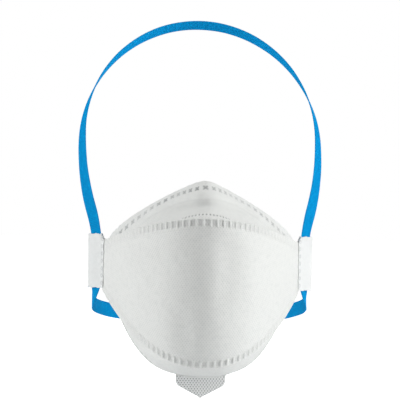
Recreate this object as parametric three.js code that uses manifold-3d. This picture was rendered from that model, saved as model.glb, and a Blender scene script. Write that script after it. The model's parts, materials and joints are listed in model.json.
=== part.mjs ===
// A flat-fold disposable dust mask, opened out as it is worn: three panels of non-woven web that share
// two side corners, a nose clip and nose foam in the upper panel, a pull tab under the chin, and two
// elastic headbands held in a folded side tab at each corner.
//
// Millimetres, +Z up. The mask faces -Y and the wearer's head is on the +Y side, so the wearer's left is
// +X. Everything is first placed about the corner axis, a line along X at y = 0, z = 0 midway up the side
// tabs. The finished group then moves so that its origin lies under the middle of its bounding box.

import * as THREE from "three";
import { mergeVertices } from "three/addons/utils/BufferGeometryUtils.js";
import Module from "manifold-3d";

const wasm = await Module();
wasm.setup();

// Where the origin moves to, measured from the corner axis.
const FOOTPRINT_MIDDLE_Y = 11.9;
const LOWEST_Z = -83.5;

// Outline of the centre panel. Its two seams start at the side corners and meet the middle plane forward.
const CORNER_X = 62;
const UPPER_CORNER_Z = 13;
const LOWER_CORNER_Z = -18.5;
const UPPER_SEAM = { forward: 73, rise: 14.4, power: 2 };
const LOWER_SEAM = { forward: 60, rise: -43.5, power: 2.3 };
const CENTRE_BULGE = 10;

// Free edge of the upper panel: over the nose, across the cheeks, down to the side corners.
const UPPER_EDGE = { halfWidth: 58.5, forward: 24, rise: 37.6, peakRound: 0.09 };
const NOSE = { forward: 15, halfWidth: 14 };

// Free edge of the lower panel: from corner to corner under the chin.
const LOWER_EDGE = { halfWidth: 58, forward: 18, drop: 51, power: 3.4, bulge: 4 };

// The folding panels start just inside the centre panel's edge, so that they can swing in behind it.
const TUCK = 3.6;
const FOLDING_SPAN = 0.943; // share of the width that the folding panels reach, short of the corners

// Each layer lies between two depths below the panel's outer face.
const CENTRE_LAYERS = {
  centre_cover_web: [0, 0.5],
  centre_stiffener: [0.8, 1.2],
  centre_filter: [1.5, 2.4],
  centre_inner_web: [2.7, 3.1],
};
const UPPER_LAYERS = {
  upper_cover_web: [0, 0.5],
  upper_filter: [1.9, 2.6],
  upper_inner_web: [3.0, 3.4],
};
const LOWER_LAYERS = {
  lower_cover_web: [0, 0.5],
  lower_filter: [0.8, 1.6],
  lower_inner_web: [1.9, 2.3],
};

// Nose clip and foam: a patch of the upper panel, as shares of its width and of its height.
const NOSE_CLIP = { across: 0.68, low: 0.7, high: 0.82, depths: [0.8, 1.6] };
const NOSE_FOAM = { across: 0.6, low: 0.58, high: 0.9, depths: [4.1, 8.9] };

const CHIN_TAB = { width: 31, shoulder: 4.2, length: 13.1, thickness: 0.8, y: -18.6, topZ: -70.4 };

// A side tab is a strip folded into a flat sleeve, standing at an angle to the middle plane.
const SIDE_TAB = {
  x: 61.9,
  y: 0.7,
  reach: 13,
  bottomZ: -17,
  topZ: 17,
  webThickness: 0.5,
  pocket: 1.6,
  angle: THREE.MathUtils.degToRad(52),
};

// A staple straddles the end of each headband. Its legs pass through the sleeve's inner flap.
const STAPLE = { wire: 0.6, crown: 8, legHalfGap: 3.7, standOff: 0.3, tip: 2.2, tipDepth: 0.5, hole: 1.2 };
const STAPLE_MIDDLE = 6.4; // from the sleeve's open edge
const STAPLE_HEIGHTS = { upper: 11, lower: -11 };

// Each headband is a flat strip round a hoop in a tilted plane. The hoop is the back half of one ellipse,
// at the crown or nape, carried on by the front of a longer one to the side tabs. "start" and "end" are
// the hoop's front and back in the middle plane, as y and z. "turn" tilts the strip's face forward at the
// side tabs, so that it leaves them flat with the sleeve.
const BAND = { width: 9.5, thickness: 0.9, segments: 44 };
const UPPER_HOOP = {
  name: "upper_headband",
  start: new THREE.Vector2(5.3, 24.5),
  end: new THREE.Vector2(88, 158),
  halfWidth: 76.6,
  widestAt: 65,
  startHalfWidth: 67,
  turn: THREE.MathUtils.degToRad(40),
};
const LOWER_HOOP = {
  name: "lower_headband",
  start: new THREE.Vector2(8.5, -24.5),
  end: new THREE.Vector2(100, -40),
  halfWidth: 68,
  widestAt: 12,
  startHalfWidth: 67.6,
  turn: 0,
};

const COLOURS = {
  web: { color: 0xe6e8e6, roughness: 0.85, metalness: 0 },
  innerWeb: { color: 0xf0f1f0, roughness: 0.9, metalness: 0 },
  filter: { color: 0xf4f4f0, roughness: 0.95, metalness: 0 },
  stiffener: { color: 0xdcdfdd, roughness: 0.6, metalness: 0 },
  tab: { color: 0xc4c8c6, roughness: 0.8, metalness: 0 },
  foam: { color: 0xd9dad6, roughness: 1, metalness: 0 },
  aluminium: { color: 0xb8bbbd, roughness: 0.35, metalness: 1 },
  steel: { color: 0x9a9da0, roughness: 0.3, metalness: 1 },
  elastic: { color: 0x0090cf, roughness: 0.7, metalness: 0 },
};
const materials = Object.fromEntries(
  Object.entries(COLOURS).map(([name, look]) => [name, new THREE.MeshStandardMaterial(look)]),
);

const mask = new THREE.Group();
mask.position.set(0, -FOOTPRINT_MIDDLE_Y, -LOWEST_Z);

function addPiece(name, geometry, material, parent = mask) {
  const mesh = new THREE.Mesh(geometry, material);
  mesh.name = name;
  parent.add(mesh);
  return mesh;
}

// ---------------------------------------------------------------- panel surfaces
// A surface takes u from -1 (wearer's right) to 1 and v from 0 to 1 going up round the outside.

// Share of the half width at u. Steps of u come out about even along the deeply curved panels.
const sideways = (u) => 1.25 * u - 0.25 * u ** 3;

function seamPoint(u, seam, cornerZ) {
  const s = sideways(u);
  const fullness = 1 - Math.abs(s) ** seam.power;
  return new THREE.Vector3(CORNER_X * s, -seam.forward * fullness, cornerZ + seam.rise * fullness);
}

function centreSurface(u, v) {
  const low = seamPoint(u, LOWER_SEAM, LOWER_CORNER_Z);
  const high = seamPoint(u, UPPER_SEAM, UPPER_CORNER_Z);
  const point = low.lerp(high, v);
  point.y -= CENTRE_BULGE * 4 * v * (1 - v) * (1 - sideways(u) ** 2);
  return point;
}

function normalOf(surface, u, v) {
  const step = 1e-3;
  const across = surface(u + step, v).sub(surface(u - step, v));
  const upward = surface(u, v + step).sub(surface(u, v - step));
  return across.cross(upward).normalize();
}

// A point of the centre panel's edge, moved in behind it by TUCK.
function tuckedEdge(u, v) {
  const point = centreSurface(u, v);
  return point.addScaledVector(normalOf(centreSurface, u, v), -TUCK);
}

// The cheek line that the upper panel would follow if there were no nose.
function cheekLine(u) {
  const s = sideways(u);
  const fullness = 1 - s * s;
  return new THREE.Vector3(
    UPPER_EDGE.halfWidth * s,
    -UPPER_EDGE.forward * fullness,
    UPPER_CORNER_Z + UPPER_EDGE.rise * fullness ** 0.8,
  );
}

function upperEdge(u) {
  const s = sideways(u);
  const round = UPPER_EDGE.peakRound;
  const fromPeak = (Math.hypot(s, round) - round) / (Math.hypot(1, round) - round);
  const x = UPPER_EDGE.halfWidth * s;
  return new THREE.Vector3(
    x,
    -UPPER_EDGE.forward * (1 - s * s) - NOSE.forward * Math.exp(-((x / NOSE.halfWidth) ** 2)),
    UPPER_CORNER_Z + UPPER_EDGE.rise * Math.max(1 - fromPeak, 0) ** 0.68,
  );
}

const upperSurface = (u, v) => tuckedEdge(u, 1).lerp(upperEdge(u), v);
const cheekSurface = (u, v) => tuckedEdge(u, 1).lerp(cheekLine(u), v);

function lowerEdge(u) {
  const s = sideways(u);
  return new THREE.Vector3(
    LOWER_EDGE.halfWidth * s,
    -LOWER_EDGE.forward * (1 - s * s),
    LOWER_CORNER_Z - LOWER_EDGE.drop * Math.max(1 - Math.abs(s) ** LOWER_EDGE.power, 0) ** 1.1,
  );
}

function lowerSurface(u, v) {
  const point = lowerEdge(u).lerp(tuckedEdge(u, 0), v);
  point.z -= LOWER_EDGE.bulge * 4 * v * (1 - v) * (1 - sideways(u) ** 2);
  return point;
}

// A closed sheet between two depths below a surface. "guide" is the surface whose normal sets the
// direction of depth; it is the smooth one where the surface itself has a tight ridge.
function sheetGeometry(surface, guide, range, depths, columns, rows) {
  const positions = [];
  for (const depth of depths)
    for (let row = 0; row <= rows; row++)
      for (let column = 0; column <= columns; column++) {
        const u = THREE.MathUtils.lerp(-range.across, range.across, column / columns);
        const v = THREE.MathUtils.lerp(range.low, range.high, row / rows);
        const point = surface(u, v).addScaledVector(normalOf(guide, u, v), -depth);
        positions.push(point.x, point.y, point.z);
      }
  const layer = (columns + 1) * (rows + 1);
  const at = (side, column, row) => side * layer + row * (columns + 1) + column;
  const indices = [];
  const quad = (a, b, c, d) => indices.push(a, b, c, a, c, d);
  for (let row = 0; row < rows; row++)
    for (let column = 0; column < columns; column++) {
      const corners = [[column, row], [column + 1, row], [column + 1, row + 1], [column, row + 1]];
      quad(...corners.map(([i, j]) => at(0, i, j)));
      quad(...corners.reverse().map(([i, j]) => at(1, i, j)));
    }
  for (let column = 0; column < columns; column++) {
    quad(at(0, column + 1, 0), at(0, column, 0), at(1, column, 0), at(1, column + 1, 0));
    quad(at(0, column, rows), at(0, column + 1, rows), at(1, column + 1, rows), at(1, column, rows));
  }
  for (let row = 0; row < rows; row++) {
    quad(at(0, 0, row), at(0, 0, row + 1), at(1, 0, row + 1), at(1, 0, row));
    quad(at(0, columns, row + 1), at(0, columns, row), at(1, columns, row), at(1, columns, row + 1));
  }
  const geometry = new THREE.BufferGeometry();
  geometry.setAttribute("position", new THREE.Float32BufferAttribute(positions, 3));
  geometry.setIndex(indices);
  geometry.computeVertexNormals();
  return geometry;
}

function layerMaterial(name) {
  if (name.endsWith("inner_web")) return materials.innerWeb;
  if (name.endsWith("filter")) return materials.filter;
  if (name.endsWith("stiffener")) return materials.stiffener;
  return materials.web;
}

function addPanel(layers, surface, guide, range, rows) {
  for (const [name, depths] of Object.entries(layers))
    addPiece(name, sheetGeometry(surface, guide, range, depths, 28, rows), layerMaterial(name));
}

addPanel(CENTRE_LAYERS, centreSurface, centreSurface, { across: 1, low: 0, high: 1 }, 8);
addPanel(UPPER_LAYERS, upperSurface, cheekSurface, { across: FOLDING_SPAN, low: 0, high: 1 }, 4);
addPanel(LOWER_LAYERS, lowerSurface, lowerSurface, { across: FOLDING_SPAN, low: 0, high: 1 }, 5);

const patch = (piece, columns, rows) =>
  sheetGeometry(upperSurface, cheekSurface, piece, piece.depths, columns, rows);
addPiece("nose_clip", patch(NOSE_CLIP, 28, 2), materials.aluminium);
addPiece("nose_foam", patch(NOSE_FOAM, 24, 3), materials.foam);

// ---------------------------------------------------------------- chin tab
// Straight shoulders, then a point, hanging from the middle of the lower panel's free edge.
function chinTabGeometry() {
  const { width, shoulder, length, thickness } = CHIN_TAB;
  const outline = new THREE.Shape();
  outline.moveTo(-width / 2, 0);
  outline.lineTo(-width / 2, -shoulder);
  outline.lineTo(0, -length);
  outline.lineTo(width / 2, -shoulder);
  outline.lineTo(width / 2, 0);
  outline.closePath();
  return new THREE.ExtrudeGeometry(outline, { depth: thickness, bevelEnabled: false });
}

const chinTab = addPiece("chin_tab", chinTabGeometry(), materials.tab);
chinTab.rotation.x = Math.PI / 2;
chinTab.position.set(0, CHIN_TAB.y, CHIN_TAB.topZ);

// ---------------------------------------------------------------- side tabs and staples
function solidOf(geometry) {
  const bare = geometry.clone();
  bare.deleteAttribute("normal");
  bare.deleteAttribute("uv");
  const merged = mergeVertices(bare, 1e-4);
  return new wasm.Manifold(
    new wasm.Mesh({
      numProp: 3,
      vertProperties: merged.attributes.position.array,
      triVerts: new Uint32Array(merged.index.array),
    }),
  );
}

function geometryOf(solid) {
  const { vertProperties, triVerts } = solid.getMesh();
  const geometry = new THREE.BufferGeometry();
  geometry.setAttribute("position", new THREE.BufferAttribute(vertProperties, 3));
  geometry.setIndex(new THREE.BufferAttribute(triVerts, 1));
  geometry.computeVertexNormals();
  return geometry;
}

// In a side tab's own frame, X runs out from the mask, Y points away from the head, Z is up.
function sleeveGeometry() {
  const { reach, webThickness, pocket, bottomZ, topZ } = SIDE_TAB;
  const inner = pocket / 2;
  const outer = inner + webThickness;
  const profile = new THREE.Shape();
  profile.moveTo(0, -outer);
  profile.lineTo(reach, -outer);
  profile.absarc(reach, 0, outer, -Math.PI / 2, Math.PI / 2, false);
  profile.lineTo(0, outer);
  profile.lineTo(0, inner);
  profile.lineTo(reach, inner);
  profile.absarc(reach, 0, inner, Math.PI / 2, -Math.PI / 2, true);
  profile.lineTo(0, -inner);
  profile.closePath();
  const height = topZ - bottomZ;
  const sleeve = new THREE.ExtrudeGeometry(profile, { depth: height, bevelEnabled: false, curveSegments: 6 });
  let solid = solidOf(sleeve.translate(0, 0, bottomZ));
  for (const z of Object.values(STAPLE_HEIGHTS))
    for (const side of [-1, 1]) {
      const hole = new THREE.BoxGeometry(STAPLE.hole, 4 * webThickness, STAPLE.hole);
      hole.translate(STAPLE_MIDDLE + side * STAPLE.legHalfGap, -outer + webThickness / 2, z);
      solid = solid.subtract(solidOf(hole));
    }
  return geometryOf(solid);
}

// Crown on the skin side, a leg at each end, and the two tips turned in over the band.
function stapleGeometry() {
  const { wire, crown, legHalfGap, tip, tipDepth } = STAPLE;
  const top = SIDE_TAB.pocket / 2 + SIDE_TAB.webThickness + STAPLE.standOff;
  const legOuter = legHalfGap + wire / 2;
  const legInner = legHalfGap - wire / 2;
  const outline = new THREE.Shape();
  outline.moveTo(-crown / 2, -top - wire);
  outline.lineTo(crown / 2, -top - wire);
  outline.lineTo(legOuter, tipDepth);
  outline.lineTo(legInner - tip, tipDepth);
  outline.lineTo(legInner - tip, tipDepth - wire);
  outline.lineTo(legInner, tipDepth - wire);
  outline.lineTo(legInner, -top);
  outline.lineTo(-legInner, -top);
  outline.lineTo(-legInner, tipDepth - wire);
  outline.lineTo(-legInner + tip, tipDepth - wire);
  outline.lineTo(-legInner + tip, tipDepth);
  outline.lineTo(-legOuter, tipDepth);
  outline.closePath();
  const staple = new THREE.ExtrudeGeometry(outline, { depth: wire, bevelEnabled: false });
  return staple.translate(STAPLE_MIDDLE, 0, -wire / 2);
}

// One side of the mask, built for the wearer's left and mirrored for the right.
function addSide(name, mirror) {
  const side = new THREE.Group();
  side.scale.x = mirror;
  const tab = new THREE.Group();
  tab.position.set(SIDE_TAB.x, SIDE_TAB.y, 0);
  tab.rotation.z = SIDE_TAB.angle;
  tab.scale.y = -1; // turns the sleeve's own +Y, its outer flap, away from the head
  side.add(tab);
  mask.add(side);
  addPiece("side_tab_" + name, sleeveGeometry(), materials.web, tab);
  for (const [band, z] of Object.entries(STAPLE_HEIGHTS)) {
    const staple = addPiece("staple_" + band + "_" + name, stapleGeometry(), materials.steel, tab);
    staple.position.z = z;
  }
}

addSide("left", 1);
addSide("right", -1);

// ---------------------------------------------------------------- headbands
// The middle of the strip, in the hoop's own frame: X across the head, Y from the side tabs towards the
// back, and the strip's width across the hoop's plane.
function bandSurface(hoop) {
  const narrowing = hoop.startHalfWidth / hoop.halfWidth;
  const frontReach = hoop.widestAt / Math.sqrt(1 - narrowing ** 2);
  const backReach = hoop.start.distanceTo(hoop.end) - hoop.widestAt;
  const endAngle = Math.PI / 2 + Math.asin(hoop.widestAt / frontReach);
  return (u, v) => {
    const angle = u * endAngle;
    const reach = Math.abs(angle) < Math.PI / 2 ? backReach : frontReach;
    const sine = Math.sin(angle);
    const cosine = Math.cos(angle);
    const point = new THREE.Vector3(hoop.halfWidth * sine, hoop.widestAt + reach * cosine, 0);
    const outward = new THREE.Vector3(sine / hoop.halfWidth, cosine / reach, 0).normalize();
    const turn = (hoop.turn * (1 - cosine)) / (1 - Math.cos(endAngle));
    const across = new THREE.Vector3(0, 0, Math.cos(turn)).addScaledVector(outward, -Math.sin(turn));
    return point.addScaledVector(across, (v - 0.5) * BAND.width);
  };
}

function addHeadband(hoop) {
  const surface = bandSurface(hoop);
  const range = { across: 1, low: 0, high: 1 };
  const depths = [-BAND.thickness / 2, BAND.thickness / 2];
  const geometry = sheetGeometry(surface, surface, range, depths, BAND.segments, 1);
  const band = addPiece(hoop.name, geometry, materials.elastic);
  band.position.set(0, hoop.start.x, hoop.start.y);
  band.rotation.x = hoop.end.clone().sub(hoop.start).angle();
}

addHeadband(UPPER_HOOP);
addHeadband(LOWER_HOOP);

export default mask;
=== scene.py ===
"""Looks of a flat-fold disposable dust mask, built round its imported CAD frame.

Shapes are worked out in millimetres about the corner axis: a line along X midway up the side tabs, with
the mask facing -Y. They move to the row frame when a mesh is made. On every panel u runs from the
wearer's right (-1) to left (1), and a grid of points has its rows going up and its columns going left.
"""
import json
import math

import bpy
import numpy as np
from mathutils import Matrix, Vector


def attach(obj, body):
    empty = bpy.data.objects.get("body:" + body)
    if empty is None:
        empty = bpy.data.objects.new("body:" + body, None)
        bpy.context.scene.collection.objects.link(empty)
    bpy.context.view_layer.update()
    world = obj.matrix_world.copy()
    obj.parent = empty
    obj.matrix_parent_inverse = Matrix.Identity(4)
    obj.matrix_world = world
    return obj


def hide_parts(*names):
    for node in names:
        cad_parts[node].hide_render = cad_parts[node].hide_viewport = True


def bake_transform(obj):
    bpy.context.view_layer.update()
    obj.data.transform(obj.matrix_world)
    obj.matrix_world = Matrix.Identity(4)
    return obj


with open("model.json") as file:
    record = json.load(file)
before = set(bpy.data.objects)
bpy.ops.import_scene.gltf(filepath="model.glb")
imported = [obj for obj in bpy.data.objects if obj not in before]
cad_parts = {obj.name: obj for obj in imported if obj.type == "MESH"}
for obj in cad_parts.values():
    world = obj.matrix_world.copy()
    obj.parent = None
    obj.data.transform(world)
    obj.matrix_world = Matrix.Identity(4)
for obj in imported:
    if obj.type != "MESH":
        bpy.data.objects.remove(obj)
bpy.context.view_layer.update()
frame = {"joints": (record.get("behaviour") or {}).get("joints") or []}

JOINTS = {joint["name"]: joint for joint in frame["joints"]}

# ---------------------------------------------------------------- driving dimensions
CORNER_X = 62
UPPER_CORNER_Z = 13
LOWER_CORNER_Z = -18.5
UPPER_SEAM = {"forward": 73, "rise": 14.4, "power": 2}
LOWER_SEAM = {"forward": 60, "rise": -43.5, "power": 2.3}
CENTRE_BULGE = 10
UPPER_EDGE = {"half_width": 58.5, "forward": 24, "rise": 37.6, "peak_round": 0.09}
NOSE = {"forward": 15, "half_width": 14}
LOWER_EDGE = {"half_width": 58, "forward": 18, "drop": 51, "power": 3.4}
LOWER_SAG = 16

# The corner axis in the row frame, found from the joint at the upper corners.
ORIGIN = np.array(JOINTS["upper_panel_fold"]["pos_m"]) - (0, 0, UPPER_CORNER_Z / 1000)

# Mesh steps
FINE = 0.5
MIDDLE = 0.95
INSIDE = 0.75
COARSE = 1.3

# Depths of the layers below a panel's outer face, in the open and where they are welded together.
WEB = 0.5
WELDED_SHARE = 0.21
CENTRE_LAYERS = {
    "centre_stiffener": (0.8, 1.2, "stiffener_web"),
    "centre_filter": (1.5, 2.4, "filter_web"),
    "centre_inner_web": (2.7, 3.1, "inner_web"),
}
UPPER_LAYERS = {
    "upper_filter": (1.9, 2.6, "filter_web"),
    "upper_inner_web": (3.0, 3.4, "inner_web"),
}
LOWER_LAYERS = {
    "lower_filter": (0.8, 1.6, "filter_web"),
    "lower_inner_web": (1.9, 2.3, "inner_web"),
}

# The two seams stand out as fins: a folding panel runs up the back of the centre panel's edge.
FIN = 4.8
FIN_DEPTH = 2.25
FOLD_RADIUS = 0.5
FOLDING_SPAN = 0.98
EDGE_BAND = 10.4

CHIN_TAB = {"width": 31, "shoulder": 4.2, "length": 13.1, "thickness": 0.55, "y": -19.0, "top": -70.4}
TAB_ANGLE = math.radians(52)
TAB_ORIGIN = np.array((61.9, 0.7, 0.0))
TAB_HALF_HEIGHT = 17
BAND_WIDTH = 9.5
UPPER_HOOP = {"start": (5.3, 24.5), "end": (88, 158), "half": 76.6, "widest": 65, "start_half": 67, "turn": 40,
              "cut": 12, "bend_from": 7.5}
LOWER_HOOP = {"start": (8.5, -24.5), "end": (100, -40), "half": 68, "widest": 12, "start_half": 67.6, "turn": 0,
              "cut": 5, "bend_from": 12.0}


# ---------------------------------------------------------------- small tools for arrays of points
def vec(x, y, z):
    return np.stack(np.broadcast_arrays(x, y, z), axis=-1).astype(float)


def unit(a):
    return a / np.maximum(np.linalg.norm(a, axis=-1, keepdims=True), 1e-12)


def lerp(a, b, t):
    return a + (b - a) * t


def ease(x, low, high):
    t = np.clip((x - low) / (high - low), 0, 1)
    return t * t * (3 - 2 * t)


def hill(x, middle, width):
    return np.exp(-(((x - middle) / width) ** 2))


def steps(start, stop, step):
    return np.linspace(start, stop, max(int(math.ceil(abs(stop - start) / step)), 1) + 1)


def lengths(grid, axis):
    """Distance along the rows or the columns of a grid, from its first point."""
    pieces = np.linalg.norm(np.diff(grid, axis=axis), axis=-1)
    total = np.cumsum(pieces, axis=axis)
    return np.concatenate([np.zeros_like(np.take(total, [0], axis=axis)), total], axis=axis)


def tangents(grid, axis):
    """Unit direction along an axis of a grid, the mean of the directions to both neighbours."""
    move = unit(np.diff(grid, axis=axis))
    first = np.take(move, [0], axis=axis)
    last = np.take(move, [-1], axis=axis)
    return unit(np.concatenate([first, move], axis=axis) + np.concatenate([move, last], axis=axis))


def normals(grid):
    return unit(np.cross(tangents(grid, 1), tangents(grid, 0)))


def blurred(grid, times):
    """A grid with each point averaged with its neighbours, over and over."""
    for _ in range(times):
        wide = np.pad(grid, ((1, 1), (1, 1), (0, 0)), mode="edge")
        grid = (wide[:-2, 1:-1] + wide[2:, 1:-1] + wide[1:-1, :-2] + wide[1:-1, 2:] + 2 * grid) / 6
    return grid


def mirrored(grid):
    """The same grid on the wearer's other side, with its faces still pointing out."""
    return grid[:, ::-1] * np.array((-1, 1, 1))


def ripple(a, b, wavelength, seed):
    """A smooth uneven field of about unit size over two lengths in millimetres."""
    random = np.random.default_rng(seed)
    total = 0
    for _ in range(9):
        angle, phase = random.uniform(0, 2 * math.pi, 2)
        size = wavelength * random.uniform(0.7, 1.5)
        total = total + np.sin(2 * math.pi * (a * math.cos(angle) + b * math.sin(angle)) / size + phase)
    return total / 3


# ---------------------------------------------------------------- meshes
def make_mesh(name, points, faces, uv=None, marks=None):
    mesh = bpy.data.meshes.new(name)
    mesh.from_pydata((points / 1000 + ORIGIN).tolist(), [], faces)
    mesh.shade_smooth()
    mesh.set_sharp_from_angle(angle=math.radians(62))
    if uv is not None:
        corner = np.empty(len(mesh.loops), dtype=np.int32)
        mesh.loops.foreach_get("vertex_index", corner)
        layer = mesh.uv_layers.new(name="length")
        layer.data.foreach_set("uv", uv[corner].astype(np.float32).ravel())
    # This attribute holds the darker weld marks, and on the cover webs also painted shade in grooves and on steps.
    if marks is not None:
        attribute = mesh.attributes.new("weld", "FLOAT", "POINT")
        attribute.data.foreach_set("value", marks.astype(np.float32).ravel())
    obj = bpy.data.objects.new(name, mesh)
    bpy.context.scene.collection.objects.link(obj)
    return obj


def make_sheet(name, outer, inner, marks=None):
    """A closed sheet between two grids of points. Its UVs are lengths along the sheet in centimetres."""
    rows, columns = outer.shape[:2]
    across = lengths(outer, 1)
    across = across - across[:, columns // 2][:, None]
    upward = lengths(outer, 0)
    upward = upward - upward[rows // 2][None, :]
    uv = np.stack([across, upward], axis=-1).reshape(-1, 2) / 10
    index = np.arange(rows * columns).reshape(rows, columns)
    other = index + rows * columns

    def quads(a, b, c, d):
        return np.stack([a, b, c, d], axis=-1).reshape(-1, 4)

    faces = np.concatenate([
        quads(index[:-1, :-1], index[:-1, 1:], index[1:, 1:], index[1:, :-1]),
        quads(other[:-1, :-1], other[1:, :-1], other[1:, 1:], other[:-1, 1:]),
        quads(index[0, 1:], index[0, :-1], other[0, :-1], other[0, 1:]),
        quads(index[-1, :-1], index[-1, 1:], other[-1, 1:], other[-1, :-1]),
        quads(index[:-1, 0], index[1:, 0], other[1:, 0], other[:-1, 0]),
        quads(index[1:, -1], index[:-1, -1], other[:-1, -1], other[1:, -1]),
    ])
    if marks is not None:
        marks = np.concatenate([marks.ravel(), marks.ravel() * 0.6])
    points = np.concatenate([outer.reshape(-1, 3), inner.reshape(-1, 3)])
    return make_mesh(name, points, faces.tolist(), np.concatenate([uv, uv]), marks)


def make_wire(name, path, radius, sides=12):
    """A round wire along a path, closed at both ends."""
    direction = tangents(path[None], 1)[0]
    side = unit(np.cross(direction, (0.0, 0.0, 1.0)))
    other = np.cross(direction, side)
    angle = np.arange(sides) * 2 * math.pi / sides
    ring = side[:, None] * np.cos(angle)[None, :, None] + other[:, None] * np.sin(angle)[None, :, None]
    points = (path[:, None] + radius * ring).reshape(-1, 3)
    faces = []
    for i in range(len(path) - 1):
        for j in range(sides):
            a, b = i * sides + j, i * sides + (j + 1) % sides
            faces.append((a, b, b + sides, a + sides))
    faces.append(tuple(range(sides))[::-1])
    faces.append(tuple(range((len(path) - 1) * sides, len(path) * sides)))
    return make_mesh(name, points, faces)


# ---------------------------------------------------------------- panel surfaces
def sideways(u):
    return 1.25 * u - 0.25 * u ** 3


def seam_point(u, seam, corner_z):
    s = sideways(u)
    fullness = 1 - np.abs(s) ** seam["power"]
    return vec(CORNER_X * s, -seam["forward"] * fullness, corner_z + seam["rise"] * fullness)


def centre_surface(u, v):
    u, v = np.broadcast_arrays(u, v)
    point = lerp(seam_point(u, LOWER_SEAM, LOWER_CORNER_Z), seam_point(u, UPPER_SEAM, UPPER_CORNER_Z), v[..., None])
    point[..., 1] -= CENTRE_BULGE * 4 * v * (1 - v) * (1 - sideways(u) ** 2)
    return point


def upper_edge(u):
    s = sideways(u)
    rounding = UPPER_EDGE["peak_round"]
    from_peak = (np.hypot(s, rounding) - rounding) / (math.hypot(1, rounding) - rounding)
    x = UPPER_EDGE["half_width"] * s
    y = -UPPER_EDGE["forward"] * (1 - s * s) - NOSE["forward"] * hill(x, 0, NOSE["half_width"])
    z = UPPER_CORNER_Z + UPPER_EDGE["rise"] * np.maximum(1 - from_peak, 0) ** 0.68
    return vec(x, y, z)


def lower_edge(u):
    s = sideways(u)
    y = -LOWER_EDGE["forward"] * (1 - s * s)
    drop = np.maximum(1 - np.abs(s) ** LOWER_EDGE["power"], 0) ** 1.1
    return vec(LOWER_EDGE["half_width"] * s, y, LOWER_CORNER_Z - LOWER_EDGE["drop"] * drop)


def across_steps(step, span=1.0):
    """Values of u that lie about a step apart along the centre panel."""
    return np.linspace(-span, span, 2 * int(round(105 * span / step)) + 1)


def welded(depth, openness):
    """Depth of a layer where the layers are pressed together (openness 0) or free (1)."""
    share = WELDED_SHARE + (1 - WELDED_SHARE) * openness
    return np.where(depth > WEB, WEB + (depth - WEB) * share, depth + 0 * share)


def row_of_marks(along, across, pitch, width, low, high):
    """1 inside each mark of a row, 0 between them."""
    offset = np.abs((along / pitch + 0.5) % 1 - 0.5) * pitch
    soft = 0.25
    inside = 1 - ease(offset, width / 2 - soft, width / 2 + soft)
    return inside * ease(across, low - soft, low + soft) * (1 - ease(across, high - soft, high + soft))


def crossed_marks(along, across, pitch, width, height, middle):
    """A row of oblong marks, each with a deeper cross in it."""
    a = ((along / pitch + 0.5) % 1 - 0.5) * pitch / width
    b = (across - middle) / height
    inside = (1 - ease(np.abs(a), 0.42, 0.58)) * (1 - ease(np.abs(b), 0.42, 0.58))
    cross = np.maximum(hill(a - b, 0, 0.17), hill(a + b, 0, 0.17))
    return inside * (0.35 + 0.65 * cross)


# ---------------------------------------------------------------- centre panel
def centre_face(u, edge_step, middle_step):
    """Outer face of the centre panel, with the distances that its marks are placed by."""
    dense_v = np.linspace(0, 1, 161)
    dense = lengths(centre_surface(u[None, :], dense_v[:, None]), 0)
    tallest = dense[-1].max()
    band = steps(0, 7.0, edge_step)
    middle = steps(0, 1, middle_step / (tallest - 14))[1:-1]
    v = []
    for column in range(len(u)):
        total = dense[-1, column]
        distance = np.concatenate([band, lerp(7.0, total - 7.0, middle), total - band[::-1]])
        v.append(np.interp(distance, dense[:, column], dense_v))
    v = np.array(v).T
    face = centre_surface(u[None, :], v)
    normal = normals(face)
    from_low = lengths(face, 0)
    along = lengths(face, 1)
    along -= along[:, len(u) // 2][:, None]
    x = face[..., 0]
    free = ease(from_low, 4, 16) * ease(from_low[-1] - from_low, 4, 16) * (1 - ease(np.abs(x), 50, 60))
    upper = ease(v, 0.2, 0.6)
    waves = 0.45 * hill(x, 28, 6) * (0.3 + 0.7 * upper) + 0.5 * hill(x, -25, 5) * (1 - 0.8 * upper)
    waves = waves - 1.05 * hill(x, 12.5, 7) * (0.25 + 0.75 * upper) - 0.8 * hill(x, -12, 6) * (1 - 0.8 * upper)
    sag = waves + 0.28 * ripple(along, from_low, 34, 11) + 0.07 * ripple(along, from_low, 11, 12)
    face = face + normal * (free * sag)[..., None]
    return {
        "points": face, "normal": normal, "low": from_low, "high": from_low[-1] - from_low,
        "along_low": along[0][None, :] + 0 * along, "along_high": along[-1][None, :] + 0 * along,
        "side": lengths(face, 1), "along": along,
    }


def centre_openness(face):
    side = np.minimum(face["side"], face["side"][:, -1:] - face["side"])
    return ease(face["low"], 5, 12) * ease(face["high"], 5, 12) * ease(side, 3.5, 10)


def layer(name, face, depths, openness, marks=None):
    near, far = (welded(np.full_like(openness, depth), openness) for depth in depths)
    points, normal = face["points"], face["normal"]
    return make_sheet(name, points - normal * near[..., None], points - normal * far[..., None], marks)


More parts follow.
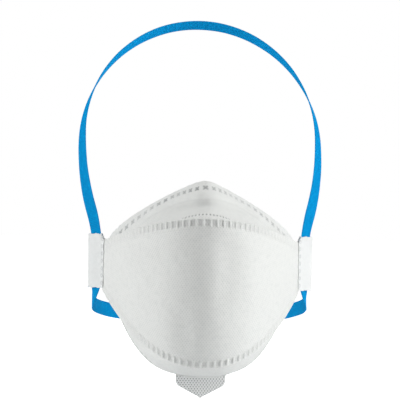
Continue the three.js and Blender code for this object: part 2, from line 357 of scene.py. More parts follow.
def build_centre():
    face = centre_face(across_steps(FINE), FINE, MIDDLE)
    fade = 1 - 0.8 * ease(np.abs(face["points"][..., 0]), 22, 54)
    top = row_of_marks(face["along_high"], face["high"], 4.15, 2.7, 0.4, 4.1)
    top_halves = 1 - 0.35 * hill(((face["along_high"] / 4.15 + 0.5) % 1 - 0.5) * 4.15, 0, 0.32)
    bottom = row_of_marks(face["along_low"], face["low"], 4.1, 2.5, 1.4, 4.4)
    marks = (top * top_halves + bottom) * fade
    ridge = 0.5 * row_of_marks(face["along_low"] + 2.05, face["low"], 4.1, 1.4, 0.8, 4.9)
    ridge = ridge + 0.4 * row_of_marks(face["along_high"] + 2.075, face["high"], 4.15, 1.2, 0.3, 4.4)
    fold = hill(face["low"], 5.6, 0.9) + hill(face["high"], 5.2, 0.9)
    height = ridge * fade - 0.2 * marks - 0.14 * fold
    outer = face["points"] + face["normal"] * height[..., None]
    inner = face["points"] - face["normal"] * WEB
    # tone: darker weld marks along both seams, and painted shade in the fold groove beside each seam
    tone = np.clip(0.2 * top * top_halves * fade + 0.12 * bottom * fade + 0.03 * fold, 0, 1)
    pieces = [(make_sheet("centre_cover_web.skin", outer, inner, tone), "centre_cover_web", "cover_web")]
    plain = centre_face(across_steps(COARSE), COARSE, COARSE)
    openness = centre_openness(plain)
    for name, (near, far, slot) in CENTRE_LAYERS.items():
        pieces.append((layer(name + ".skin", plain, (near, far), openness), name, slot))
    for piece, node, slot in pieces:
        dress(piece, slot, node)
        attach(piece, "centre_panel")
    return face


# ---------------------------------------------------------------- folding panels
def folding_face(u, side, free_edge, edge_step, middle_step, relief):
    """Outer face of the upper (side 1) or lower (side -1) panel, from the fin's tip to the free edge."""
    seam_v = 1.0 if side > 0 else 0.0
    edge = centre_surface(u, seam_v)
    tipward = unit(edge - centre_surface(u, seam_v - side * 1e-3))
    across = unit(centre_surface(u + 1e-4, seam_v) - centre_surface(u - 1e-4, seam_v))
    outward = unit(np.cross(across, tipward * side))
    end = free_edge(u)
    width = np.linalg.norm(end - edge, axis=-1, keepdims=True)
    fin = np.minimum(FIN, 0.42 * width)
    fold = edge - tipward * fin - outward * FIN_DEPTH
    run = end - fold
    run_length = np.linalg.norm(run, axis=-1, keepdims=True)
    run = run / run_length
    half = 0.5 * np.arccos(np.clip(np.sum(tipward * run, axis=-1, keepdims=True), -1, 1))
    radius = np.minimum(FOLD_RADIUS, 0.4 * fin * np.tan(half))
    reach = radius / np.tan(half)
    inward = unit(tipward + run)
    turn = unit(run - tipward)
    centre = fold + inward * radius / np.sin(half)
    bend = []
    for share in np.linspace(-1, 1, 9)[1:-1]:
        angle = share * (math.pi / 2 - half)
        bend.append(centre + radius * (turn * np.sin(angle) - inward * np.cos(angle)))
    back = [lerp(edge - outward * FIN_DEPTH, fold + tipward * reach, t) for t in steps(0, 1, edge_step / FIN)]
    longest = float(run_length.max())
    band = np.minimum(EDGE_BAND, 0.45 * run_length[:, 0])
    body = steps(0, 1, middle_step / (longest - EDGE_BAND))[:-1]
    edge_rows = steps(0, 1, edge_step / EDGE_BAND)
    distance = [lerp(reach[:, 0], run_length[:, 0] - band, t) for t in body]
    distance += [run_length[:, 0] - band * (1 - t) for t in edge_rows]
    distance = np.array(distance)
    share = distance / run_length[:, 0]
    out = fold[None] + run[None] * distance[..., None]
    s = sideways(u)[None, :]
    if side < 0:
        out[..., 2] -= LOWER_SAG * share * (1 - share) * (1 - s * s)
    points = np.concatenate([np.array(back), np.array(bend), out])
    head = len(back) + len(bend)
    normal = normals(points) * side
    from_fold = np.concatenate([np.zeros((head, len(u))), distance - reach[:, 0]])
    from_edge = np.concatenate([np.full((head, len(u)), 99.0), run_length[:, 0] - distance])
    edge_along = lengths(points[-1:], 1)
    edge_along = edge_along - edge_along[:, len(u) // 2][:, None]
    along = lengths(points, 1)
    along -= along[:, len(u) // 2][:, None]
    face = {"points": points, "fold": from_fold, "edge": from_edge, "along": along, "edge_along": edge_along + 0 * along}
    points += normal * (relief(face) * ease(from_fold, 0.5, 3))[..., None]
    face["normal"] = normals(points) * side
    face["open"] = ease(from_fold, 1, 9) * ease(from_edge, 7.5, 13)
    return face


def flipped(face):
    return {name: grid[::-1] for name, grid in face.items()}


def upper_relief(face):
    """The nose pad pressed through the web, with a steeper step under it and a soft roll by the seam."""
    x, z = face["points"][..., 0], face["points"][..., 2]
    above = z - (39.2 - 0.0105 * x * x)
    step = ease(above, -4.9, 0.3) * (1 - 0.85 * ease(above, 0.4, 10))
    size = 0.8 + 1.4 * hill(x, 0, 25)
    side_fade = 1 - ease(np.abs(x), 30, 44)
    lens = 30.8 - 0.015 * x * x
    seam_z = UPPER_CORNER_Z + UPPER_SEAM["rise"] * (1 - (x / CORNER_X) ** 2) - 3
    inside = np.clip((z - seam_z) / np.maximum(lens - seam_z, 0.5), 0, 1)
    roll = 1.2 * np.sin(math.pi * inside) * (1 - ease(np.abs(x), 13, 22))
    edge = ease(face["edge"], 0, 5)
    uneven = 0.16 * ripple(face["along"], face["fold"], 26, 21) + 0.05 * ripple(face["along"], face["fold"], 9, 22)
    return (size * step * side_fade * edge + roll + uneven * edge) - 0.3 * hill(above, 0.2, 0.7) * side_fade


def lower_relief(face):
    edge = ease(face["edge"], 0, 6)
    return (0.25 * ripple(face["along"], face["fold"], 30, 31) + 0.06 * ripple(face["along"], face["fold"], 10, 32)) * edge


# Returns the weld crosses, the press dots, and painted shade for the upper cover.
def upper_marks_and_shade(face):
    x, z = face["points"][..., 0], face["points"][..., 2]
    # The press bit deepest by the nose and in two places further out.
    fade = 0.42 + 0.58 * np.minimum(hill(x, -4, 10) + 0.8 * hill(x, -25, 5) + 0.5 * hill(x, -50, 8) + 0.3 * hill(x, 38, 7), 1)
    crosses = crossed_marks(face["edge_along"], face["edge"], 5.2, 2.8, 4.7, 7.4) * fade
    arc = z - (30.2 - 0.014 * x * x)
    dot = np.hypot(((face["along"] / 2.15 + 0.5) % 1 - 0.5) * 2.15, arc / 1.05)
    dots = (1 - ease(dot, 0.24, 0.56)) * (1 - ease(np.abs(x), 13, 15)) * (face["fold"] > 0)
    # Painted shade: a darker band on the steep step under the nose pad, and a dark line in the groove along the pad's
    # edge.
    band = hill(x, 0, 22) * hill(z - (36.6 - 0.0105 * x * x), 0, 2.2)
    line = hill(z - (39.2 - 0.0105 * x * x), 0, 0.5) * (1 - ease(np.abs(x), 30, 44))
    return crosses, dots, 0.11 * band + 0.08 * line


def lower_marks(face):
    crosses = crossed_marks(face["edge_along"], face["edge"], 4.1, 2.4, 3.2, 5.4) * 0.6
    return crosses, 0 * crosses, 0 * crosses


def build_folding(prefix, side, free_edge, relief, marks, layers):
    """The cover web and inner layers of one folding panel, bent between the centre panel and its body."""
    def face_of(edge_step, middle_step):
        u = across_steps(edge_step, FOLDING_SPAN)
        face = folding_face(u, side, free_edge, edge_step, middle_step, relief)
        return face if side > 0 else flipped(face)

    face = face_of(FINE, 0.7 * MIDDLE)
    crosses, dots, shadow = marks(face)
    height = -0.3 * crosses - 0.35 * dots
    outer = face["points"] + face["normal"] * height[..., None]
    inner = face["points"] - face["normal"] * WEB
    # The cover's tone: weld crosses and press dots, plus painted shade (shadow) on the upper panel.
    cover = make_sheet(prefix + "_cover_web.skin", outer, inner, np.clip(crosses + dots + shadow, 0, 1))
    pieces = [(cover, prefix + "_cover_web", "cover_web")]
    plain, inside = face_of(COARSE, COARSE), face_of(INSIDE, COARSE)
    crosses, _, _ = marks(inside)
    puffed = np.maximum(inside["open"], 0.25 * (1 - np.clip(1.6 * crosses, 0, 1)) * ease(inside["edge"], 0.5, 3))
    for name, (near, far, slot) in layers.items():
        if slot == "inner_web":
            piece = layer(name + ".skin", inside, (near, far), puffed, crosses)
        else:
            piece = layer(name + ".skin", plain, (near, far), plain["open"])
        pieces.append((piece, name, slot))
    for piece, node, slot in pieces:
        dress(piece, slot, node)
        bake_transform(piece)
    return face


def in_row_frame(x, y, z):
    return tuple(np.array((x, y, z)) / 1000 + ORIGIN)


def build_nose_parts():
    """The clip between the web layers, and the foam pad glued inside."""
    for name, across, low, high, near, far, slot in (
        ("nose_clip", 0.68, 0.70, 0.82, 0.55, 1.35, "nose_clip_metal"),
        ("nose_foam", 0.60, 0.56, 0.92, 3.6, 8.6, "nose_foam"),
    ):
        rows = 24 if name == "nose_foam" else 12
        u = across_steps(0.9, across)
        face = folding_face(u, 1, upper_edge, 0.6, 0.6, upper_relief)
        share = face["fold"] / (face["fold"] + face["edge"])
        wanted = np.linspace(low, high, rows + 1)
        grids = {key: [] for key in ("points", "normal", "open")}
        for column in range(len(u)):
            known = share[:, column]
            for key in ("points", "normal"):
                grids[key].append([np.interp(wanted, known, face[key][:, column, axis]) for axis in range(3)])
            grids["open"].append(np.interp(wanted, known, face["open"][:, column]))
        points = np.array(grids["points"]).transpose(2, 0, 1)
        normal = unit(np.array(grids["normal"]).transpose(2, 0, 1))
        even_normal = unit(blurred(normal, 40))
        openness = np.array(grids["open"]).T
        from_low = lengths(points, 0)
        from_side = lengths(points, 1)
        from_low = np.minimum(from_low, from_low[-1] - from_low)
        from_side = np.minimum(from_side, from_side[:, -1:] - from_side)
        if name == "nose_foam":
            start = welded(np.full_like(openness, 3.4), openness) + 0.15
            inset = np.clip(np.minimum(from_low, from_side) / 3.0, 0, 1)
            thick = (far - near) * (0.12 + 0.88 * np.sqrt(1 - (1 - inset) ** 2))
            thick = thick * (1 + 0.03 * ripple(from_side, from_low, 12, 41))
        else:
            start = np.full_like(openness, near)
            room = np.clip(welded(np.full_like(openness, 1.9), openness) - near - 0.05, 0.12, far - near)
            inset = np.clip(np.minimum(from_low, from_side) / 0.8, 0, 1)
            thick = room * (0.35 + 0.65 * np.sqrt(1 - (1 - inset) ** 2))
        outer = points - normal * start[..., None]
        inner = outer - (even_normal if name == "nose_foam" else normal) * thick[..., None]
        piece = make_sheet(name + ".skin", outer, inner)
        dress(piece, slot, name)
        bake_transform(piece)


# ---------------------------------------------------------------- chin tab
def build_chin_tab(lower_face):
    """A pointed tab, its upper end welded under the lower panel's edge, with rows of point bonds."""
    step = 0.22
    half = CHIN_TAB["width"] / 2
    length = CHIN_TAB["length"]
    top = CHIN_TAB["top"]
    drop = steps(length, 0, step)
    taper = np.clip((drop - CHIN_TAB["shoulder"]) / (length - CHIN_TAB["shoulder"]), 0, 1)
    outline = half * (1 - np.hypot(taper, 0.05) + 0.05 * (1 - taper))
    outline = np.where(taper > 0, outline, half) - 0.8 * hill(drop, CHIN_TAB["shoulder"], 0.9)
    tip = np.sqrt(np.clip((length - drop) / 1.6, 0, 1))
    outline = np.maximum(outline, 2.0 * tip)
    outline = np.where(length - drop < 1.6, np.minimum(outline, 0.15 + 2.3 * tip), outline)
    outline = np.maximum(outline, 0.4)
    c = steps(-1, 1, step / half)
    hanging = vec(outline[:, None] * c[None, :], CHIN_TAB["y"], top - drop[:, None] - 0.6)
    hanging[..., 2] += 0.6 * (drop[:, None] / length)
    hanging[..., 1] += 0.35 * (drop[:, None] / length) ** 2 - 0.25 * np.cos(hanging[..., 0] / half * 2.2)
    # The welded end follows the lower panel's outer face forward from its free edge.
    points = lower_face["points"]
    rows = points.shape[0] // 2
    welded_y = steps(-19.9, -24.6, step)
    flap = []
    middle_row = points[:rows]
    for x in half * c:
        column = int(np.argmin(np.abs(middle_row[0, :, 0] - x)))
        y, z = middle_row[:, column, 1], middle_row[:, column, 2]
        order = np.argsort(y)
        flap.append(vec(x, welded_y, np.interp(welded_y, y[order], z[order]) - 0.42))
    flap = np.array(flap).transpose(1, 0, 2)
    start, finish = hanging[-1], flap[0]
    bend = []
    for t in np.linspace(0, 1, 6)[1:-1]:
        corner = vec(start[:, 0], start[:, 1], finish[:, 2])
        bend.append(lerp(lerp(start, corner, t), lerp(corner, finish, t), t))
    grid = np.concatenate([hanging, np.array(bend), flap])
    normal = normals(grid)
    a, b = grid[..., 0], lengths(grid[:, grid.shape[1] // 2][:, None], 0)
    line = np.floor(b / 1.24)
    column = (a / 1.8 + 0.5 * (line % 2) + 0.5) % 1 - 0.5
    dot = np.hypot(column * 1.8, (b / 1.24 - line - 0.5) * 1.24)
    dots = 1 - ease(dot, 0.2, 0.42)
    edge = np.minimum(half * (1 - np.abs(c))[None, :], 9)
    dots = dots * ease(edge, 0.3, 0.7)
    thickness = CHIN_TAB["thickness"] / 2
    outer = grid + normal * (thickness - 0.16 * dots)[..., None]
    inner = grid - normal * (thickness - 0.10 * dots)[..., None]
    piece = make_sheet("chin_tab.skin", outer, inner, dots)
    dress(piece, "tab_web", "chin_tab")
    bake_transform(piece)


# ---------------------------------------------------------------- side tabs and staples
def from_tab_frame(x, y, z):
    """X runs out from the mask, Y away from the head; the result is on the wearer's left."""
    cos, sin = math.cos(TAB_ANGLE), math.sin(TAB_ANGLE)
    return vec(TAB_ORIGIN[0] + x * cos + y * sin, TAB_ORIGIN[1] + x * sin - y * cos, z)


def rounded_path(corners, radius, step):
    """Points along a polyline with its corners rounded."""
    corners = np.array(corners, float)
    path = [corners[:1]]
    for before, here, after in zip(corners, corners[1:], corners[2:]):
        back, ahead = unit(before - here), unit(after - here)
        reach = min(radius, 0.48 * np.linalg.norm(before - here), 0.48 * np.linalg.norm(after - here))
        a, b = here + back * reach, here + ahead * reach
        t = np.linspace(0, 1, 7)[:, None]
        path.append(lerp(lerp(a, here, t), lerp(here, b, t), t))
    path.append(corners[-1:])
    path = np.concatenate(path)
    total = lengths(path[None], 1)[0]
    wanted = steps(0, total[-1], step)
    return np.stack([np.interp(wanted, total, path[:, axis]) for axis in range(path.shape[1])], axis=-1)


def build_side_tabs():
    fine = 0.36
    end = [13 + 1.05 * math.sin(a) for a in np.linspace(0, math.pi, 13)]
    rise = [1.05 * math.cos(a) for a in np.linspace(0, math.pi, 13)]
    corners = [(-2.6, 1.45), (-0.5, 1.0), (1.6, 1.05)] + list(zip(end, rise)) + [(1.4, -1.05), (-0.7, -0.95), (-3.0, -0.45)]
    profile = rounded_path(corners, 0.8, fine)
    along = lengths(profile[None], 1)[0]
    z = steps(-TAB_HALF_HEIGHT, TAB_HALF_HEIGHT, fine)
    height = z[:, None] / TAB_HALF_HEIGHT
    cut = 1 + 0.012 * np.sin(along * 0.9 + 0.4)[None, :] * np.sign(height) + 0.006 * np.sin(along * 2.3)[None, :]
    z_grid = z[:, None] * cut
    grid = from_tab_frame(profile[None, :, 0], profile[None, :, 1], z_grid)
    start = 0.35 * np.sin(z * 0.8 + 0.6) + 0.2 * np.sin(z * 1.9)
    pull = np.clip(1 - along / 3.0, 0, 1)[None, :] * start[:, None]
    # Above the panel's corner both flaps are trimmed back to where they meet.
    trim = 3.4 * ease(z, 12.6, TAB_HALF_HEIGHT)[:, None]
    first = unit(grid[:, 1:2] - grid[:, :1])
    last = unit(grid[:, -2:-1] - grid[:, -1:])
    near_start = np.clip(1 - along / 5, 0, 1)[None, :]
    near_end = np.clip(1 - (along[-1] - along) / 5, 0, 1)[None, :]
    grid = grid + first * (pull + trim * near_start)[..., None] + last * (1.2 * trim * near_end)[..., None]
    grid[..., 2] -= 0.4 * trim * (near_start + near_end)
    normal = normals(grid)
    flat = ease(along, 3, 6) * (1 - ease(along, along[-1] - 6, along[-1] - 3))
    outer_flap = along < 15
    puff = 0.22 * np.sin(np.clip((along - 4.5) / 12, 0, 1) * math.pi) * outer_flap
    sag = (0.10 * ripple(along[None, :], z_grid, 13, 51) * flat[None, :] + puff[None, :] * (1 - height ** 4))
    grid = grid + normal * np.maximum(sag, -0.12)[..., None]
    rings = 0
    for middle in (1.7, along[-1] - 1.7):
        centre_z = (z_grid / 4.6 + 0.5) % 1 - 0.5
        distance = np.hypot((along - middle)[None, :], centre_z * 4.6)
        rings = rings + hill(distance, 0.95, 0.32) * (np.abs(z_grid) < 15.2)
    puckers = 0.10 * hill(along, 5.2, 0.9)[None, :] * np.sin(z_grid * 2 * math.pi / 4.6)
    outer = grid + normal * (0.25 - 0.2 * rings + puckers)[..., None]
    inner = grid - normal * 0.25
    for side_name, place in (("left", lambda g: g), ("right", mirrored)):
        tone = rings * 0.8 if side_name == "left" else rings[:, ::-1] * 0.8
        piece = make_sheet("side_tab_" + side_name + ".skin", place(outer), place(inner), tone)
        dress(piece, "side_tab_web", "side_tab_" + side_name)
        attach(piece, "centre_panel")


def build_staples():
    corners = [(6.4 - 3.7 + 2.4, 0.2), (6.4 - 3.7, 0.22), (6.4 - 3.7, -1.9), (6.4 + 3.7, -1.9), (6.4 + 3.7, 0.22), (6.4 + 3.7 - 2.4, 0.2)]
    path = rounded_path(corners, 0.5, 0.12)
    for band, z in (("upper", 11.0), ("lower", -11.0)):
        points = from_tab_frame(path[:, 0], path[:, 1], z)
        for side_name, sign in (("left", 1), ("right", -1)):
            name = "staple_" + band + "_" + side_name
            piece = make_wire(name + ".wire", points * np.array((sign, 1, 1)), 0.3)
            dress(piece, "staple_steel", name)
            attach(piece, "centre_panel")


# ---------------------------------------------------------------- headbands
def hoop_path(hoop, step):
    """Middle line of a band's hoop and the direction its outer face points, from right to left."""
    start, end = np.array(hoop["start"], float), np.array(hoop["end"], float)
    back = np.linalg.norm(end - start)
    front_reach = hoop["widest"] / math.sqrt(1 - (hoop["start_half"] / hoop["half"]) ** 2)
    back_reach = back - hoop["widest"]
    end_angle = math.pi / 2 + math.asin(hoop["widest"] / front_reach)
    angle = np.linspace(-1, 1, int(back * 2.2 / step) * 2 + 1) * end_angle
    reach = np.where(np.abs(angle) < math.pi / 2, back_reach, front_reach)
    sine, cosine = np.sin(angle), np.cos(angle)
    x, forward = hoop["half"] * sine, hoop["widest"] + reach * cosine
    outward = unit(vec(sine / hoop["half"], cosine / reach, 0))
    turn = math.radians(hoop["turn"]) * (1 - cosine) / (1 - math.cos(end_angle))
    across = vec(0, 0, np.cos(turn)) - outward * np.sin(turn)[:, None]
    along = (end - start) / back

    def to_mask(a):
        return vec(a[:, 0], a[:, 1] * along[0] - a[:, 2] * along[1], a[:, 1] * along[1] + a[:, 2] * along[0])

    middle = to_mask(vec(x, forward, 0)) + (0, start[0], start[1])
    return middle, to_mask(across)


def lead_in(hoop_end, hoop_direction, hoop_across, sign, bend_from, step):
    """From inside the left side tab, out of its mouth and round to the hoop's left end."""
    inside = from_tab_frame(6.4, -0.36, sign * 3.0)
    mouth = from_tab_frame(6.4, -0.36, sign * bend_from)
    gap = np.linalg.norm(hoop_end - mouth)
    t = steps(0, 1, step / gap)[:, None]
    tangent_a = np.array((0, 0, sign * 1.0)) * gap
    tangent_b = hoop_direction * gap
    curve = (
        (2 * t ** 3 - 3 * t ** 2 + 1) * mouth + (t ** 3 - 2 * t ** 2 + t) * tangent_a
        + (3 * t ** 2 - 2 * t ** 3) * hoop_end + (t ** 3 - t ** 2) * tangent_b
    )
    straight = lerp(inside, mouth, steps(0, 1, step / (bend_from - 3.0))[:, None])[:-1]
    middle = np.concatenate([straight, curve[:-1]])
    direction = tangents(middle[None], 1)[0]
    pocket_normal = np.array((math.sin(TAB_ANGLE), -math.cos(TAB_ANGLE), 0))
    hoop_normal = unit(np.cross(hoop_direction, hoop_across))
    if np.dot(hoop_normal, pocket_normal) < 0:
        hoop_normal = -hoop_normal
    share = np.concatenate([np.zeros(len(straight)), ease(t[:-1, 0], 0.0, 1.0)])[:, None]
    normal = unit(lerp(pocket_normal, hoop_normal, share))
    normal = unit(normal - direction * np.sum(normal * direction, axis=-1, keepdims=True))
    across = np.cross(normal, direction)
    return middle, across


def build_band(name, hoop, sign):
    step = 1.1
    middle, across = hoop_path(hoop, step)
    direction = tangents(middle[None], 1)[0]
    cut = int(round(hoop["cut"] / step))
    middle, across, direction = (part[cut:-cut] for part in (middle, across, direction))
    lead, lead_across = lead_in(middle[-1], -direction[-1], across[-1], sign, hoop["bend_from"], step)
    if np.dot(lead_across[-1], across[-1]) < 0:
        lead_across = -lead_across
    flip = np.array((-1, 1, 1))
    middle = np.concatenate([lead * flip, middle, lead[::-1]])
    across = np.concatenate([lead_across * flip, across, lead_across[::-1]])
    # Lengthwise ribs, thinner selvedges, and the slight waviness of a stretched knit
    w = np.linspace(-0.5, 0.5, 67)
    ribs = 9
    crest = np.abs(np.cos(math.pi * ribs * w)) ** 0.8
    half = (0.27 + 0.15 * crest) * np.clip((0.5 - np.abs(w)) / 0.03, 0.35, 1)
    total = lengths(middle[None], 1)[0]
    wave = 0.10 * np.sin(total / 7.3) + 0.07 * np.sin(total / 3.1 + 1.0)
    width = BAND_WIDTH * (1 + 0.012 * np.sin(total / 5.7))
    grid = middle[None] + across[None] * (w[:, None, None] * width[None, :, None])
    normal = normals(grid)
    inside = (total > 12) & (total < total[-1] - 12)
    curl = 0.25 * (w[:, None] * 2) ** 2
    grid = grid + normal * ((wave[None, :] * np.cos(w[:, None] * 4) - curl) * inside[None, :] * 0.6)[..., None]
    stitch = 0.03 * np.sin(total * 2 * math.pi / 2.2)[None, :] * crest[:, None]
    outer = grid + normal * (half[:, None] + stitch)[..., None]
    inner = grid - normal * (half[:, None] + stitch)[..., None]
    piece = make_sheet(name + ".knit", outer, inner)
    dress(piece, "elastic", name)
    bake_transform(piece)


# ---------------------------------------------------------------- materials
def linear(*srgb):
    """An 8-bit colour as the linear values that shaders take."""
    values = [c / 255 for c in srgb]
    return [c / 12.92 if c <= 0.04045 else ((c + 0.055) / 1.055) ** 2.4 for c in values] + [1.0]


class Look:
    """A material's nodes, with short ways to add and join them."""

    def __init__(self, name, colour, roughness, metallic=0.0, sheen=0.0):
        self.material = bpy.data.materials.new(name)
        self.material.use_nodes = True
        self.tree = self.material.node_tree
        self.shader = self.tree.nodes["Principled BSDF"]
        self.shader.inputs["Base Color"].default_value = colour
        self.shader.inputs["Roughness"].default_value = roughness
        self.shader.inputs["Metallic"].default_value = metallic
        self.shader.inputs["Sheen Weight"].default_value = sheen
        self.shader.inputs["Sheen Roughness"].default_value = 0.4
        self.colour = colour
        self.bump = None

    def node(self, kind, inputs, **settings):
        node = self.tree.nodes.new("ShaderNode" + kind)
        for key, value in settings.items():
            setattr(node, key, value)
        for key, value in inputs.items():
            if isinstance(value, bpy.types.NodeSocket):
                self.tree.links.new(value, node.inputs[key])
            else:
                node.inputs[key].default_value = value
        return node

    def math(self, operation, a, b=0.0):
        return self.node("Math", {0: a, 1: b}, operation=operation).outputs[0]

    def ramp(self, value, low, high, to_low=0.0, to_high=1.0):
        inputs = {"Value": value, "From Min": low, "From Max": high, "To Min": to_low, "To Max": to_high}
        return self.node("MapRange", inputs, interpolation_type="SMOOTHSTEP").outputs["Result"]

    def place(self, output="UV", scale=(1, 1, 1), turn=0.0):
        source = self.node("TexCoord", {}).outputs[output]
        inputs = {"Vector": source, "Scale": scale, "Rotation": (0, 0, math.radians(turn))}
        return self.node("Mapping", inputs).outputs["Vector"]

    def noise(self, where, scale, detail=3.0, roughness=0.5):
        inputs = {"Vector": where, "Scale": scale, "Detail": detail, "Roughness": roughness}
        return self.node("TexNoise", inputs).outputs["Fac"]

    def weld(self):
        return self.node("Attribute", {}, attribute_name="weld", attribute_type="GEOMETRY").outputs["Fac"]

    def shade(self, factor, towards):
        """Moves the base colour towards another where factor is 1."""
        current = self.shader.inputs["Base Color"]
        inputs = {"Factor": factor, "B": towards}
        mix = self.node("Mix", {}, data_type="RGBA")
        if current.is_linked:
            self.tree.links.new(current.links[0].from_socket, mix.inputs[6])
        else:
            mix.inputs[6].default_value = self.colour
        mix.inputs[7].default_value = inputs["B"]
        self.tree.links.new(factor, mix.inputs[0])
        self.tree.links.new(mix.outputs[2], current)

    def raise_by(self, height, millimetres, strength=1.0):
        """Adds relief that is millimetres deep where height goes from 0 to 1."""
        inputs = {"Height": height, "Distance": millimetres / 1000, "Strength": strength}
        if self.bump is not None:
            inputs["Normal"] = self.bump
        self.bump = self.node("Bump", inputs).outputs["Normal"]
        self.tree.links.new(self.bump, self.shader.inputs["Normal"])

    def roughen(self, value):
        self.tree.links.new(value, self.shader.inputs["Roughness"])


def web_look(name, colour, shadow, bond_pitch=0.0, bond_depth=0.05, bond_tone=0.35, weld_and_shade_tone=None, sheen=0.25):
    """Non-woven web: random fibres, cloudy thickness, a staggered pattern of point bonds, darker welds, and painted
    shade where a mesh adds it to the weld attribute.
    """
    look = Look(name, colour, 0.82, sheen=sheen)
    flat = look.place("UV")
    fibres = look.noise(look.place("UV", (60, 9, 1), 17), 1.0, 4.0, 0.6)
    crossing = look.noise(look.place("UV", (9, 55, 1), -24), 1.0, 4.0, 0.6)
    cloud = look.noise(flat, 3.4, 4.0, 0.62)
    fleece = look.math("MULTIPLY", look.math("ADD", fibres, crossing), 0.5)
    look.shade(look.ramp(cloud, 0.42, 0.72, 0.0, 0.22), shadow)
    look.shade(look.ramp(fleece, 0.35, 0.65, 0.2, 0.0), shadow)
    look.raise_by(fleece, 0.09)
    if bond_pitch:
        scale = 10 / bond_pitch * math.sqrt(2)
        cells = look.node(
            "TexVoronoi", {"Vector": look.place("UV", (scale, scale * 0.726, 1), 45), "Scale": 1.0, "Randomness": 0.0},
            voronoi_dimensions="2D", feature="F1",
        ).outputs["Distance"]
        bonds = look.ramp(cells, 0.12, 0.32, 1.0, 0.0)
        look.shade(look.math("MULTIPLY", bonds, bond_tone), shadow)
        look.raise_by(look.math("SUBTRACT", 1.0, bonds), bond_depth)
    if weld_and_shade_tone is not None:
        look.shade(look.weld(), weld_and_shade_tone)
        look.roughen(look.ramp(look.weld(), 0.0, 1.0, 0.82, 0.5))
    return look.material


def elastic_look():
    look = Look("elastic", linear(0, 157, 224), 0.75)
    look.shader.inputs["Specular IOR Level"].default_value = 0.05
    stitches = look.node(
        "TexWave", {"Vector": look.place("UV", (1, 1, 1)), "Scale": 2.9, "Distortion": 0.7, "Detail": 1.0, "Detail Scale": 3.0},
        wave_type="BANDS", bands_direction="X",
    ).outputs["Fac"]
    ribs = look.node(
        "TexWave", {"Vector": look.place("UV", (1, 1, 1)), "Scale": 5.95 * 0.5, "Distortion": 0.15},
        wave_type="BANDS", bands_direction="Y",
    ).outputs["Fac"]
    cloud = look.noise(look.place("UV"), 4.0, 3.0)
    # Painted shade: darker in the grooves between stitches and between ribs.
    look.shade(look.ramp(stitches, 0.0, 0.6, 0.45, 0.0), linear(0, 110, 178))
    look.shade(look.ramp(ribs, 0.0, 0.4, 0.35, 0.0), linear(0, 104, 170))
    look.shade(look.ramp(cloud, 0.45, 0.75, 0.0, 0.35), linear(0, 184, 244))
    look.raise_by(stitches, 0.10)
    return look.material


def foam_look():
    look = Look("nose_foam", linear(222, 223, 219), 0.95, sheen=0.1)
    cells = look.node("TexVoronoi", {"Vector": look.place("Object"), "Scale": 2600.0, "Randomness": 1.0}, feature="F1").outputs["Distance"]
    look.shade(look.ramp(cells, 0.15, 0.5, 0.35, 0.0), linear(160, 161, 157))
    look.raise_by(look.ramp(cells, 0.1, 0.6), 0.14)
    return look.material


def metal_look(name, colour, roughness, scale):
    look = Look(name, colour, roughness, metallic=1.0)
    brushed = look.noise(look.place("Object", scale), 1.0, 3.0, 0.6)
    look.roughen(look.ramp(brushed, 0.3, 0.7, roughness * 0.7, roughness * 1.4))
    look.shade(look.ramp(brushed, 0.35, 0.7, 0.4, 0.0), [c * 0.7 for c in colour[:3]] + [1.0])
    look.raise_by(brushed, 0.01)
    return look.material


LOOKS = {
    "cover_web": web_look("cover_web", linear(241, 242, 239), linear(206, 210, 208), 1.8, 0.05, 0.45, linear(134, 137, 136)),
    "stiffener_web": web_look("stiffener_web", linear(226, 229, 227), linear(196, 200, 198), 1.2, 0.12, 0.8),
    "filter_web": web_look("filter_web", linear(243, 243, 240), linear(222, 222, 218), sheen=0.4),
    "inner_web": web_look("inner_web", linear(240, 241, 240), linear(220, 222, 221), 1.3, 0.03, 0.3, linear(150, 153, 152)),
    "tab_web": web_look("tab_web", linear(244, 245, 244), linear(226, 228, 227), weld_and_shade_tone=linear(92, 96, 98)),
    "side_tab_web": web_look("side_tab_web", linear(240, 242, 241), linear(222, 225, 224), 0.9, 0.02, 0.25, linear(196, 200, 200)),
    "nose_clip_metal": metal_look("nose_clip_metal", linear(202, 204, 205), 0.38, (900, 90, 90)),
    "nose_foam": foam_look(),
    "staple_steel": metal_look("staple_steel", linear(186, 188, 190), 0.24, (300, 300, 2500)),
    "elastic": elastic_look(),
}


def dress(piece, slot, node):
    """Gives a piece its material and lets it stand for its CAD node."""
    piece.data.materials.append(LOOKS[slot])
    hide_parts(node)


build_centre()
build_folding("upper", 1, upper_edge, upper_relief, upper_marks_and_shade, UPPER_LAYERS)
lower = build_folding("lower", -1, lower_edge, lower_relief, lower_marks, LOWER_LAYERS)
build_nose_parts()
build_chin_tab(lower)
build_side_tabs()
build_staples()
build_band("upper_headband", UPPER_HOOP, 1)
build_band("lower_headband", LOWER_HOOP, -1)


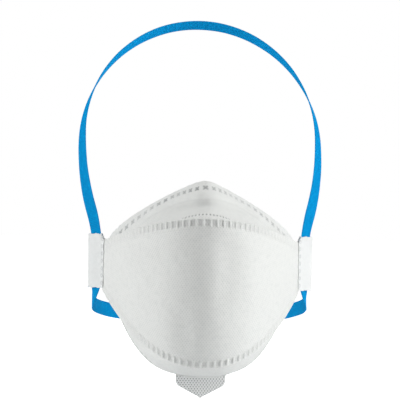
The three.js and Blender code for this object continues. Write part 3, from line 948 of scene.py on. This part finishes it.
# ---------------------------------------------------------------- stage, lights and camera
def build_stage():
    """A wide pale floor. Away from the mask it fades to the white of the studio."""
    size, floor_z = 12.0, -0.04
    mesh = bpy.data.meshes.new("floor")
    mesh.from_pydata([(x, y, floor_z) for x, y in ((-size, -size), (size, -size), (size, size), (-size, size))], [], [(0, 1, 2, 3)])
    floor = bpy.data.objects.new("floor", mesh)
    bpy.context.scene.collection.objects.link(floor)
    look = Look("floor", linear(244, 245, 246), 0.9)
    away = look.node("VectorMath", {0: look.place("Object")}, operation="LENGTH").outputs["Value"]
    seen = look.node("LightPath", {}).outputs["Is Camera Ray"]
    glow = look.math("MULTIPLY", seen, look.ramp(away, 0.12, 0.6, 0.35, 1.0))
    look.tree.links.new(glow, look.shader.inputs["Emission Strength"])
    look.shader.inputs["Emission Color"].default_value = (1, 1, 1, 1)
    # Seen from below, the floor lets the mask be seen.
    below = look.node("NewGeometry", {}).outputs["Backfacing"]
    clear = look.node("BsdfTransparent", {}).outputs["BSDF"]
    sides = look.node("MixShader", {0: below, 1: look.shader.outputs["BSDF"], 2: clear}).outputs["Shader"]
    look.tree.links.new(sides, look.tree.nodes["Material Output"].inputs["Surface"])
    mesh.materials.append(look.material)


def add_light(name, place, target, size, energy):
    light = bpy.data.lights.new(name, "AREA")
    light.shape = "RECTANGLE"
    light.size, light.size_y = size
    light.energy = energy
    obj = bpy.data.objects.new(name, light)
    bpy.context.scene.collection.objects.link(obj)
    direction = Vector(target) - Vector(place)
    obj.matrix_world = Matrix.Translation(Vector(place)) @ direction.to_track_quat("-Z", "Y").to_matrix().to_4x4()


def add_camera():
    """Level with the mask, a little to the wearer's right, and turned a little about its own axis."""
    distance, yaw, pitch, roll = 1.2, math.radians(2.5), math.radians(-0.5), math.radians(0.95)
    target = Vector(in_row_frame(-1.3, 0, 39.2))
    forward = Vector((math.sin(yaw) * math.cos(pitch), math.cos(yaw) * math.cos(pitch), -math.sin(pitch)))
    camera = bpy.data.objects.new("camera", bpy.data.cameras.new("camera"))
    bpy.context.scene.collection.objects.link(camera)
    camera.data.sensor_width = 36
    camera.data.lens = 36 * distance / 0.252
    camera.data.clip_start, camera.data.clip_end = 0.05, 20
    turned = forward.to_track_quat("-Z", "Y").to_matrix().to_4x4() @ Matrix.Rotation(roll, 4, "Z")
    camera.matrix_world = Matrix.Translation(target - forward * distance) @ turned
    bpy.context.scene.camera = camera


build_stage()
MASK_MIDDLE = in_row_frame(0, -20, 0)
add_light("softbox_right", (1.12, -0.42, 0.4), MASK_MIDDLE, (0.7, 1.2), 13.4)
add_light("softbox_left", (-1.2, -0.2, 0.4), MASK_MIDDLE, (0.7, 1.2), 11.2)
add_light("fill_front", (0, -1.3, -0.4), MASK_MIDDLE, (0.9, 0.9), 0.6)
add_light("fill_top", (0, 0.2, 1.6), MASK_MIDDLE, (1.2, 1.2), 9.4)
add_light("fill_back", (0.2, 1.5, 0.5), MASK_MIDDLE, (0.9, 0.9), 6.0)
add_camera()

def build_world():
    """White to the camera, and a weak even light on the mask."""
    world = bpy.data.worlds.new("studio")
    world.use_nodes = True
    tree = world.node_tree
    seen = tree.nodes.new("ShaderNodeLightPath").outputs["Is Camera Ray"]
    strength = tree.nodes.new("ShaderNodeMapRange")
    strength.inputs["To Min"].default_value = 0.07
    strength.inputs["To Max"].default_value = 1.0
    tree.links.new(seen, strength.inputs["Value"])
    tree.links.new(strength.outputs["Result"], tree.nodes["Background"].inputs["Strength"])
    tree.nodes["Background"].inputs["Color"].default_value = (1, 1, 1, 1)
    bpy.context.scene.world = world


build_world()
bpy.context.scene.view_settings.view_transform = "Standard"

bpy.context.view_layer.update()
